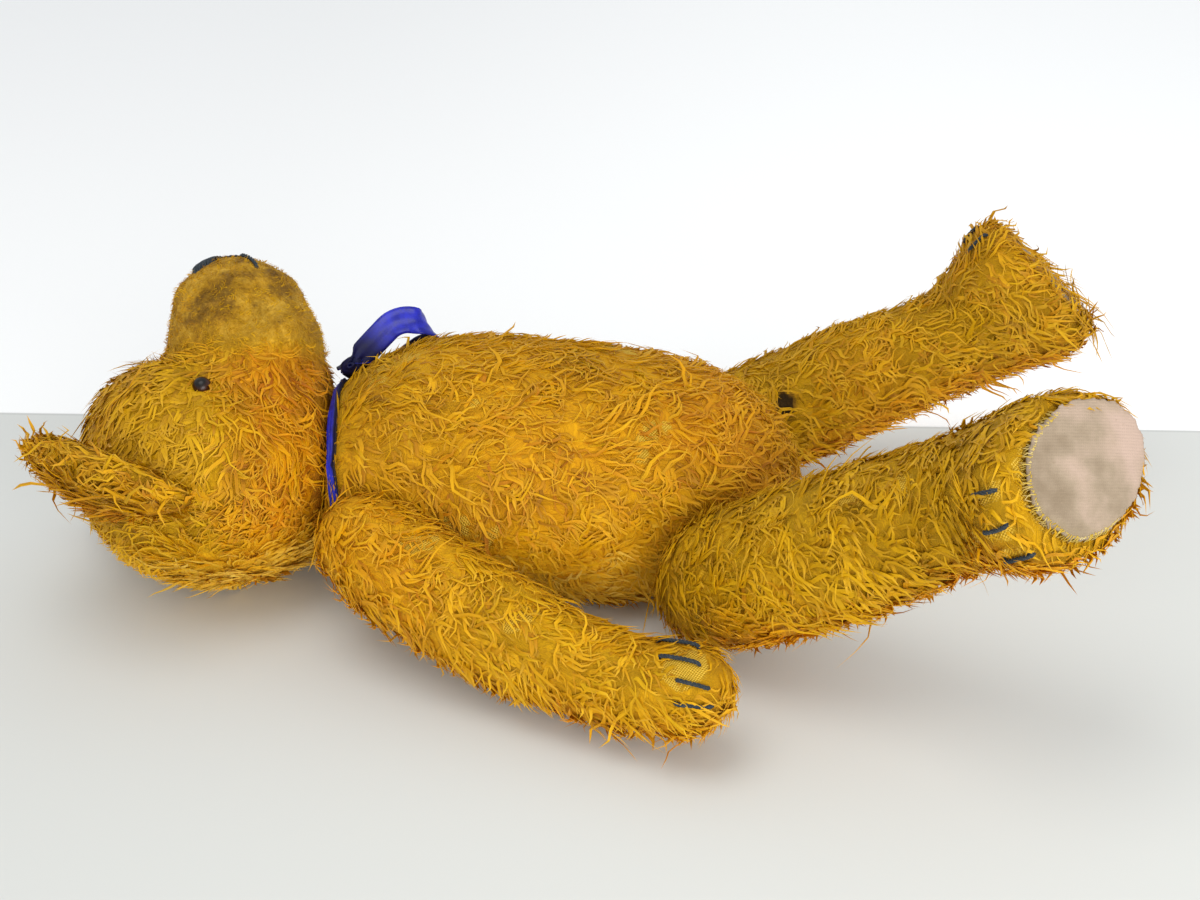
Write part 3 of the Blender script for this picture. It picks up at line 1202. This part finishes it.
def make_nose(thread):
    """Satin stitches side by side over the nose, one down from it and one to each corner of the mouth."""
    shape, tree = Shape(), tree_of(skin_of("head_cover").data)
    stitches = thread.nose_stitches
    for k in range(stitches):
        share = (k + 0.5) / stitches * 2 - 1
        down = (NOSE_TOP + NOSE_BOTTOM) / 2 + share * (NOSE_BOTTOM - NOSE_TOP) / 2
        half = NOSE_HALF_WIDTH * 1.05 * (1 - 0.45 * (share + 1) / 2) * math.sqrt(max(1 - share ** 4, 0.15))
        half *= 1 + 0.05 * math.sin(k * 2.4)
        line = []
        for j in range(9):
            y = -1 + j / 4
            rise = 0.0013 * (1 - share ** 2) ** 0.5 * math.sqrt(max(1 - y * y, 0)) + 0.0004
            line.append(over_snout(tree, y * half, down + 0.0002 * math.sin(k * 5.1 + j), rise if abs(y) < 1
                                   else -0.0008))
        shape.tube(smooth_line(line, 0.0012), thread.nose_radius, 6)
    side, low = MOUTH_END
    fork = [(0, NOSE_BOTTOM - 0.001), (0, NOSE_BOTTOM + 0.001), (0, (NOSE_BOTTOM + MOUTH_FORK) / 2),
            (0, MOUTH_FORK)]
    corners = [[(way * a, b) for a, b in (
        (0.0, MOUTH_FORK - 0.0006), (side * 0.3, MOUTH_FORK + 0.0015),
        (side * 0.62, (MOUTH_FORK + low) / 2 + 0.001), (side, low))] for way in (-1, 1)]
    for k, path in enumerate([fork, *corners]):
        line = [over_snout(tree, y, x, 0.0009 if k else 0.0004) for y, x in path]
        line = [over_snout(tree, *path[0], -0.0006), *line, over_snout(tree, path[-1][0] * 1.06,
                                                                     path[-1][1] + 0.0006, -0.0008)]
        shape.twisted(smooth_line(line, 0.0008), thread.mouth_radius, 2, 0.0046, 6, k)
    shape.made("nose_and_mouth_stitches", thread_paint(), "head", "black_thread", "nose_and_mouth")


EYE_SIZE = 0.88  # of the CAD's eye
EYE_FRONT, EYE_BACK = 0.86, 0.70  # how flat the glass is before and behind its rim
EYE_SET_IN = 0.0016


def make_eyes():
    """Two flattened glass balls, brown at the rim."""
    paint = material("dark eye glass", eye_glass, coat_weight=0.10, coat_roughness=0.2,
                     specular_ior_level=0.3)
    for name in ("right_eye", "left_eye"):
        low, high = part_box(name)
        middle = (low + high) / 2
        radius = (high.x - low.x) / 2 * EYE_SIZE
        out = (middle - (NECK + HEAD_TURNED @ HEAD_CENTRE)).normalized()
        turn = UP.rotation_difference(out).to_matrix()
        bm = bmesh.new()
        bmesh.ops.create_uvsphere(bm, u_segments=40, v_segments=24, radius=1.0)
        rim = []
        for v in bm.verts:
            rim.append(math.hypot(v.co.x, v.co.y) if v.co.z > 0 else 1.0)
            flat = Vector((v.co.x, v.co.y, v.co.z * (EYE_FRONT if v.co.z > 0 else EYE_BACK)))
            v.co = middle + turn @ (flat * radius) - out * EYE_SET_IN
        mesh = bpy.data.meshes.new(name + "_glass")
        bm.to_mesh(mesh)
        bm.free()
        set_value(mesh, "rim", np.array(rim))
        mesh.shade_smooth()
        mesh.materials.append(paint)
        kept(bpy.data.objects.new(name + "_glass", mesh), "head", "black_glass", name)


PAD_REACH = (0.0305, 0.024)  # half a sole's length and half its width


def make_pads(pads):
    """The cloth soles, a little crowned, with the frayed edge of their seam."""
    cloth = material("worn pad cloth", pad_cloth, roughness=0.88, specular_ior_level=0.25)
    cotton = material("frayed pad edge", fringe_cotton, roughness=0.85, specular_ior_level=0.2)
    for side in ("right", "left"):
        bm = merged(f"{side}_foot_pad")
        mesh = remeshed(bm, f"{side}_sole", 0.0014, 6, 0.0)
        co, normal = values_of(mesh)
        middle = co.mean(0)
        axes = np.linalg.svd(co - middle, full_matrices=False)[2]
        toes, wide, out = axes
        claws = np.mean([line.mean(0) for line in claw_lines(f"{side}_foot_claws")], axis=0)
        toes = toes if toes @ (claws - middle) > 0 else -toes
        leg = np.array(limb_ends(f"{side}_leg_cover")[0])
        out = out if out @ (middle - leg) > 0 else -out
        flat = co - middle
        toeward, sideward = flat @ toes / PAD_REACH[0], flat @ wide / PAD_REACH[1]
        reach = np.hypot(toeward, sideward)
        if side == "left":
            co -= out * pads.sunk
        raised = (pads.crown * np.clip(1 - reach ** 2, 0, 1) + 0.0004 * field(co, 70.0, 4)
                  + 0.00025 * field(co, 210.0, 5))
        co += normal * (raised * (normal @ out > 0.2))[:, None]
        moved(mesh, co)
        set_value(mesh, "toes", toeward)
        set_value(mesh, "wide", sideward)
        set_value(mesh, "grime", np.clip(0.55 * eased(reach, 0.55, 1.0) + 0.35 * field(co, 45.0, 3), 0, 1))
        mesh.materials.append(cloth)
        pad = kept(bpy.data.objects.new(f"{side}_sole_cloth", mesh), f"{side}_leg", "pad_cloth",
                   f"{side}_foot_pad")
        fringe(f"{side}_sole_fringe", side, (middle, toes, wide, out), tree_of(pad.data),
               tree_of(skin_of(f"{side}_leg_cover").data), pads.fringe_radius, cotton)


def fringe(name, side, axes, pad, skin, radius, paint):
    """Frayed loops and ends of yellow cotton in the seam round a pad, on the side of its toes."""
    shape = Shape()
    middle, toes, wide, out = axes
    chance = np.random.default_rng(5 if side == "right" else 6)
    for k in range(-58, 59):
        turn = 2 * math.pi * (k + chance.uniform(-0.4, 0.4)) / 230
        away = toes * math.cos(turn) + wide * math.sin(turn)
        start = Vector(middle + away * 0.06 + out * 0.0004)
        hit = pad.ray_cast(start, Vector(-away))[0]
        if hit is None:
            continue
        rim = np.array(hit)
        along = np.cross(out, away)
        size = chance.uniform(0.35, 0.85)
        inner = over(pad, rim - away * 0.0014 * size + out * 0.0012, 0.0002)
        outer = over(skin, rim + away * 0.0016 * size + along * chance.uniform(-0.001, 0.001), 0.0001)
        high = (inner + outer) / 2 + out * 0.0010 * size + along * chance.uniform(-0.0012, 0.0012)
        high = high + away * chance.uniform(-0.0004, 0.0008)
        shape.tube(smooth_line([inner, high, outer], 0.0008), radius * chance.uniform(0.7, 1.3), 4)
    shape.made(name, paint, f"{side}_leg", "pad_cloth")


KNOT = Vector((-0.0931, 0.0217, 0.0931))
KNOT_OUT = Vector((-0.7296, 0.2401, 0.6404)).normalized()
KNOT_DOWN = Vector((0.8017, 0.2746, 0.5309)).normalized()
ROUND_NECK = Vector((-0.0492, 0.9155, -0.3993)).normalized()
NEAR_LOOP = ((0, 0, 0), (5, 0, 0), (11, 1, 1), (18.5, 2, 2.2), (26, 2, 3), (31.5, 3, 1),
             (35, 4, -3.5), (36, 9, -9), (32, 15, -15), (23, 18, -18), (14, 16, -14), (7, 10, -8), (3, 4, -3))
NEAR_LOOP_ACROSS = ((-0.80, -0.40, 0.45), (-0.62, -0.30, 0.72), (-0.10, -0.11, 0.98), (0.22, -0.01, 0.92),
                    (0.17, 0.09, 0.94), (0.45, -0.30, 0.80), (0.2, -0.9, 0.3), (0, -1, 0), (0, -1, 0))
CREASE = 0.40  # where along the near loop it was once folded
FAR_LOOP = ((0, 0, 0), (0, 4, 2), (0, 9, 3), (0, 14, 3), (1, 18, 0), (1, 19, -4), (1, 17, -8),
            (0, 13, -6), (0, 8, -3), (0, 4, -1))
TAILS = (((0, 0, 0), (0, 7, -2), (1, 13, -5), (3, 19, -9), (5, 23, -14)),
         ((0, 0, 0), (1, 6, -2), (4, 12, -6), (7, 18, -11), (10, 22, -16)))


PLEATS = 2.5  # across the ribbon, where it is gathered
OVER_SKIN = 0.0014  # the least that the bow's ribbon keeps over the backing


def pleated(line, across, width, gather, closed=False):
    """The middle surface of a ribbon along a line, pleated where it is gathered."""
    if closed:
        ahead = unit(np.roll(line, -1, 0) - np.roll(line, 1, 0))
        sway = 0.5 * np.sin(np.arange(len(line)) * 2 * math.pi * 3 / len(line))[:, None]
    else:
        ahead, sway = unit(np.gradient(line, axis=0)), 0.6
    share = np.linspace(-1, 1, 11)
    one = unit(across - ahead * (across * ahead).sum(1, keepdims=True))
    two = np.cross(ahead, one)
    half = width / 2
    gather = np.broadcast_to(gather, len(line))
    deep = half / (PLEATS * 2) * np.sqrt(np.maximum(1 - gather ** 2, 0)) * (1.15 if closed else 1.25)
    wave = np.sin(share[None, :] * math.pi * PLEATS + sway)
    return (line[:, None] + one[:, None] * (share[None, :, None] * half * gather[:, None, None])
            + two[:, None] * (wave * deep[:, None])[:, :, None])


def make_ribbon(satin_band):
    """One satin ribbon: crushed round the neck, tied in a bow, its ends hanging to the bear's left."""
    width, thick = satin_band.width, satin_band.thick
    paint = satin_paint(satin_band)
    tree = tree_of(skin_of("body_cover").data)
    axes = Matrix((KNOT_DOWN, ROUND_NECK, KNOT_OUT)).transposed()
    shape, length = Shape(), 0.0
    line, spread = [], []
    for i in range(120):
        turn = 2 * math.pi * i / 120
        to = Vector((-0.0962, 0.0426 * math.cos(turn), 0.0517 + 0.0358 * math.sin(turn)))
        near, normal, _, _ = tree.find_nearest(to)
        line.append(tuple(near + normal * 0.0017))
        spread.append(tuple((Vector((1, 0, 0)) - normal * normal.x).normalized()))
    line, spread = np.array(line), np.array(spread)
    wide = 0.44 + 0.07 * np.sin(np.arange(len(line)) * 2 * math.pi * 7 / len(line))
    shape.strip(pleated(line, spread, width, wide, closed=True), thick, closed=True)
    length += np.linalg.norm(np.roll(line, -1, 0) - line, axis=1).sum()

    def hung(path, facing, closed_loop, dull=0.0):
        nonlocal length
        placed = [KNOT + axes @ (Vector(p) * 0.001) for p in path]
        lifted = []
        for p in placed:
            near, normal, _, _ = tree.find_nearest(p)
            lifted.append(p if (p - near).dot(normal) >= OVER_SKIN else near + normal * OVER_SKIN)
        lifted = [np.array(p) for p in lifted]
        if closed_loop:
            lifted.append(lifted[0] + np.array(KNOT_OUT) * -0.0008)
        track = smooth_line(lifted, 0.0016)
        share = np.linspace(0, 1, len(track))
        near_knot = np.minimum(share, 1 - share) if closed_loop else share
        gather = 0.45 + 0.545 * eased(near_knot, 0.0, 0.08)
        turned = np.array([tuple(axes @ Vector(way)) for way in facing])
        stops = np.linspace(0, 1, len(turned))
        across = np.stack([np.interp(share, stops, turned[:, i]) for i in range(3)], 1)
        shape.strip(pleated(track, across, width, gather), thick,
                    dull=dull * (1 - eased(share, 0.09, 0.25)
                                - 0.5 * np.exp(-((share - CREASE) / 0.018) ** 2)))
        length += np.linalg.norm(np.diff(track, axis=0), axis=1).sum()

    hung(NEAR_LOOP, NEAR_LOOP_ACROSS, True, dull=0.95)
    hung(FAR_LOOP, ((1, 0, 0), (1, 0, 0)), True)
    for tail in TAILS:
        hung(tail, ((0.9, -0.4, 0), (0.9, -0.4, 0)), False)
    turns = np.linspace(0, 2 * math.pi, 36, endpoint=False)
    wrap = np.array([tuple(KNOT + KNOT_DOWN * (0.0038 * math.cos(a)) + KNOT_OUT * (0.0027 * math.sin(a)
                    - 0.0006)) for a in turns])
    grid = pleated(wrap, np.tile(np.array(ROUND_NECK), (len(wrap), 1)), width, 0.48, closed=True)
    middle, neckwise = np.array(KNOT), np.array(ROUND_NECK)
    along = ((grid - middle) @ neckwise)[..., None] * neckwise
    drawn_in = 1 - 0.82 * np.abs(np.linspace(-1, 1, grid.shape[1])) ** 2.2
    grid = middle + along + (grid - middle - along) * drawn_in[None, :, None]
    shape.strip(grid, thick, closed=True, dull=0.85)
    length += np.linalg.norm(np.roll(wrap, -1, 0) - wrap, axis=1).sum()
    ribbon = shape.made("satin_ribbon", paint, "torso", "blue_satin", "neck_ribbon")


def repaint_hidden():
    """The stuffing and the joint hardware keep their CAD meshes and get their own finish."""
    wool = material("wood wool", wood_wool, roughness=0.9)
    board = material("hardboard", hardboard, roughness=0.8)
    steel = material("dull steel", dull_steel, roughness=0.4, metallic=1.0)
    for name, obj in frame["nodes"].items():
        paint = (wool if "stuffing" in name else board if "disc" in name
                 else steel if "washer" in name or "pin" in name else None)
        if paint:
            obj.data.materials.clear()
            obj.data.materials.append(paint)


# ---------------------------------------------------------------- stage


def paper_floor(stage):
    """Pale paper that turns up into a white wall along a line behind the bear."""
    def build(graph, shader):
        at = graph.get("ShaderNodeTexCoord", None, None, "Object")
        parts = graph.node("ShaderNodeSeparateXYZ", None, {0: at})
        back = graph.out(parts, 1) + graph.out(parts, 0) * WALL_SLANT
        far = graph.smooth(back, WALL_AT, WALL_AT + 0.002)
        colour = graph.blend(far, tuple(stage.floor_colour), tuple(stage.wall_colour))
        line = (graph.smooth(back, WALL_AT - 0.0018, WALL_AT + 0.0004)
                * graph.smooth(back, WALL_AT + 0.0004, WALL_AT + 0.0026, 1.0, 0.0))
        brighter = graph.smooth(graph.out(parts, 0), -0.30, 0.35, 1.0, 1.12)
        join_to(graph, shader, graph.tint(colour, (1.0 - line * 0.16) * brighter))

    return material("paper floor", build, roughness=0.9)


WALL_AT, WALL_SLANT = 0.1458, 0.0677
LAMPS = (
    # name, place, diameter in metres, watts
    ("key", (-0.25, -0.30, 1.20), 0.8, 3.8),
    ("fill", (0.45, -1.40, 0.26), 1.2, 19.0),
)


def make_stage(stage):
    """Floor, even daylight, two soft lamps and the camera."""
    scene = bpy.context.scene
    for obj in [o for o in scene.objects if o.name in ("Cube", "Light", "Camera")]:
        bpy.data.objects.remove(obj)
    bpy.ops.mesh.primitive_plane_add(size=8.0, location=(0, 0, -0.0005))
    floor = bpy.context.object
    floor.name = "floor"
    floor.data.materials.append(paper_floor(stage))
    world = bpy.data.worlds.new("studio")
    scene.world = world
    world.use_nodes = True
    back = world.node_tree.nodes["Background"]
    back.inputs["Color"].default_value = linear(250, 252, 255)
    back.inputs["Strength"].default_value = stage.daylight
    for name, place, size, power in LAMPS:
        light = bpy.data.lights.new(name, "AREA")
        light.shape, light.size, light.energy, light.color = "DISK", size, power, (1.0, 0.99, 0.97)
        lamp = bpy.data.objects.new(name, light)
        lamp.location = place
        lamp.rotation_mode = "QUATERNION"
        lamp.rotation_quaternion = (Vector(place) - Vector((0, 0, 0.05))).to_track_quat("Z", "Y")
        scene.collection.objects.link(lamp)
    scene.view_settings.view_transform = "Standard"

    data = bpy.data.cameras.new("camera")
    camera = bpy.data.objects.new("camera", data)
    scene.collection.objects.link(camera)
    back_way = Vector((0, -math.cos(stage.camera_height), math.sin(stage.camera_height)))
    camera.location = Vector(stage.camera_aim) + back_way * stage.camera_distance
    camera.rotation_mode = "QUATERNION"
    roll = Matrix.Rotation(stage.camera_roll, 3, "Z").to_quaternion()
    camera.rotation_quaternion = (-back_way).to_track_quat("-Z", "Y") @ roll
    data.sensor_width = 36.0
    data.lens = data.sensor_width / 2 / math.tan(stage.camera_view / 2)
    scene.camera = camera


# ---------------------------------------------------------------- settings


def length(name, description, default):
    return bpy.props.FloatProperty(name=name, description=description, default=default, min=0.0,
                                   unit="LENGTH")


def turn(name, description, degrees):
    return bpy.props.FloatProperty(name=name, description=description, default=math.radians(degrees),
                                   unit="ROTATION")


def paint_colour(name, description, default):
    return bpy.props.FloatVectorProperty(name=name, description=description, default=default, size=4,
                                         min=0.0, max=1.0, subtype="COLOR")


class MohairSettings(bpy.types.PropertyGroup):
    """How the pile of the mohair grows."""

    thickness: bpy.props.FloatProperty(name="Thickness", description="How close together the locks grow",
                                       default=1.0, min=0.0, max=2.0, subtype="FACTOR")
    fine_length: length("Fine length", "Length of the fine locks next to the backing", 0.0115)
    fine_width: length("Fine width", "Width of the fine locks", 0.0021)
    broad_length: length("Broad length", "Length of the broad locks over them", 0.0128)
    broad_width: length("Broad width", "Width of the broad locks", 0.0034)
    stray_length: length("Stray length", "Length of the locks that stand away", 0.0170)
    stray_width: length("Stray width", "Width of the locks that stand away", 0.0028)
    fuzz_length: length("Muzzle fuzz", "Length of the worn pile on the muzzle", 0.0085)
    lumps: length("Lumps", "How far the stuffing's lumps stand out", 0.0006)


class ThreadSettings(bpy.types.PropertyGroup):
    """The black thread of the claws, nose and mouth."""

    claw_radius: length("Claw thread", "Half the thickness of a claw's thread", 0.00085)
    mouth_radius: length("Mouth thread", "Half the thickness of the mouth's thread", 0.0009)
    nose_radius: length("Nose thread", "Half the thickness of a stitch on the nose", 0.00052)
    nose_stitches: bpy.props.IntProperty(name="Nose stitches", description="Stitches side by side",
                                         default=17, min=3, max=40)


class PadSettings(bpy.types.PropertyGroup):
    """The cloth soles."""

    crown: length("Crown", "How far the stuffing raises the middle of a sole", 0.0010)
    sunk: length("Sunk", "How far the left sole has sunk in between its tufts", 0.0016)
    fringe_radius: length("Fringe", "Half the thickness of the frayed threads round a sole", 0.00022)


class RibbonSettings(bpy.types.PropertyGroup):
    """The satin ribbon."""

    width: length("Width", "Width of the ribbon laid flat", 0.012)
    thick: length("Thickness", "Thickness of the satin", 0.0004)
    bright: paint_colour("Right side", "Colour of the satin's right side", linear(34, 40, 160))
    dull: paint_colour("Wrong side", "Colour of the satin's wrong side", linear(15, 17, 56))


class StageSettings(bpy.types.PropertyGroup):
    """Floor, light and camera."""

    floor_colour: paint_colour("Floor", "Colour of the paper floor", linear(211, 213, 209))
    wall_colour: paint_colour("Wall", "Colour of the wall behind it", linear(253, 254, 253))
    daylight: bpy.props.FloatProperty(name="Daylight", description="Strength of the even light all round",
                                      default=0.80, min=0.0, max=2.0)
    camera_aim: bpy.props.FloatVectorProperty(name="Aim", description="The point the camera looks at",
                                              default=(0.0167, 0.0, 0.060), unit="LENGTH",
                                              subtype="TRANSLATION")
    camera_distance: length("Distance", "From the camera to that point", 0.75)
    camera_height: turn("Height", "Angle of the camera over the floor", 28.0)
    camera_roll: turn("Roll", "Tilt of the camera", -0.9)
    camera_view: turn("View", "Width of the camera's view", 38.8)


# ---------------------------------------------------------------- operators


class BEAR_OT_stage(bpy.types.Operator):
    """Set up the floor, the light and the camera"""

    bl_idname = "bear.stage"
    bl_label = "Stage"

    def execute(self, context):
        make_stage(context.scene.bear_stage)
        return {"FINISHED"}


class BEAR_OT_skins(bpy.types.Operator):
    """Cover body, head, ears, arms and legs with the mohair's backing"""

    bl_idname = "bear.skins"
    bl_label = "Mohair backing"

    def execute(self, context):
        make_skins(context.scene.bear_mohair)
        return {"FINISHED"}


class BEAR_OT_pile(bpy.types.Operator):
    """Grow the pile on the backing"""

    bl_idname = "bear.pile"
    bl_label = "Mohair pile"

    def execute(self, context):
        make_fur(context.scene.bear_mohair)
        return {"FINISHED"}


class BEAR_OT_claws(bpy.types.Operator):
    """Stitch the claws of the paws and feet"""

    bl_idname = "bear.claws"
    bl_label = "Claws"

    def execute(self, context):
        make_claws(context.scene.bear_thread)
        return {"FINISHED"}


class BEAR_OT_nose(bpy.types.Operator):
    """Stitch the nose and the mouth"""

    bl_idname = "bear.nose"
    bl_label = "Nose and mouth"

    def execute(self, context):
        make_nose(context.scene.bear_thread)
        return {"FINISHED"}


class BEAR_OT_eyes(bpy.types.Operator):
    """Set the two glass eyes"""

    bl_idname = "bear.eyes"
    bl_label = "Eyes"

    def execute(self, context):
        make_eyes()
        return {"FINISHED"}


class BEAR_OT_soles(bpy.types.Operator):
    """Put the cloth soles with their frayed seams on the feet"""

    bl_idname = "bear.soles"
    bl_label = "Soles"

    def execute(self, context):
        make_pads(context.scene.bear_pads)
        return {"FINISHED"}


class BEAR_OT_ribbon(bpy.types.Operator):
    """Tie the satin ribbon round the neck"""

    bl_idname = "bear.ribbon"
    bl_label = "Ribbon"

    def execute(self, context):
        make_ribbon(context.scene.bear_ribbon)
        return {"FINISHED"}


class BEAR_OT_inside(bpy.types.Operator):
    """Finish the stuffing and the joint hardware inside"""

    bl_idname = "bear.inside"
    bl_label = "Stuffing and joints"

    def execute(self, context):
        repaint_hidden()
        return {"FINISHED"}


SETTINGS = {"bear_mohair": MohairSettings, "bear_thread": ThreadSettings, "bear_pads": PadSettings,
            "bear_ribbon": RibbonSettings, "bear_stage": StageSettings}
STEPS = (BEAR_OT_stage, BEAR_OT_skins, BEAR_OT_pile, BEAR_OT_claws, BEAR_OT_nose, BEAR_OT_eyes,
         BEAR_OT_soles, BEAR_OT_ribbon, BEAR_OT_inside)


class BEAR_PT_workbench(bpy.types.Panel):
    """The bear's settings and the steps that dress it"""

    bl_idname = "BEAR_PT_workbench"
    bl_label = "Worn teddy bear"
    bl_space_type = "VIEW_3D"
    bl_region_type = "UI"
    bl_category = "Bear"

    def draw(self, context):
        for key, group in SETTINGS.items():
            box = self.layout.box()
            box.label(text=group.__doc__.rstrip("."))
            for prop in group.__annotations__:
                box.prop(getattr(context.scene, key), prop)
        for step in STEPS:
            self.layout.operator(step.bl_idname)


def register():
    for group in SETTINGS.values():
        bpy.utils.register_class(group)
    for key, group in SETTINGS.items():
        setattr(bpy.types.Scene, key, bpy.props.PointerProperty(type=group))
    for step in (*STEPS, BEAR_PT_workbench):
        bpy.utils.register_class(step)


def unregister():
    for step in (BEAR_PT_workbench, *reversed(STEPS)):
        bpy.utils.unregister_class(step)
    for key, group in SETTINGS.items():
        delattr(bpy.types.Scene, key)
        bpy.utils.unregister_class(group)


def main():
    register()
    bpy.ops.bear.stage()
    bpy.ops.bear.skins()
    bpy.ops.bear.pile()
    bpy.ops.bear.claws()
    bpy.ops.bear.nose()
    bpy.ops.bear.eyes()
    bpy.ops.bear.soles()
    bpy.ops.bear.ribbon()
    bpy.ops.bear.inside()


if __name__ == "__main__":
    main()
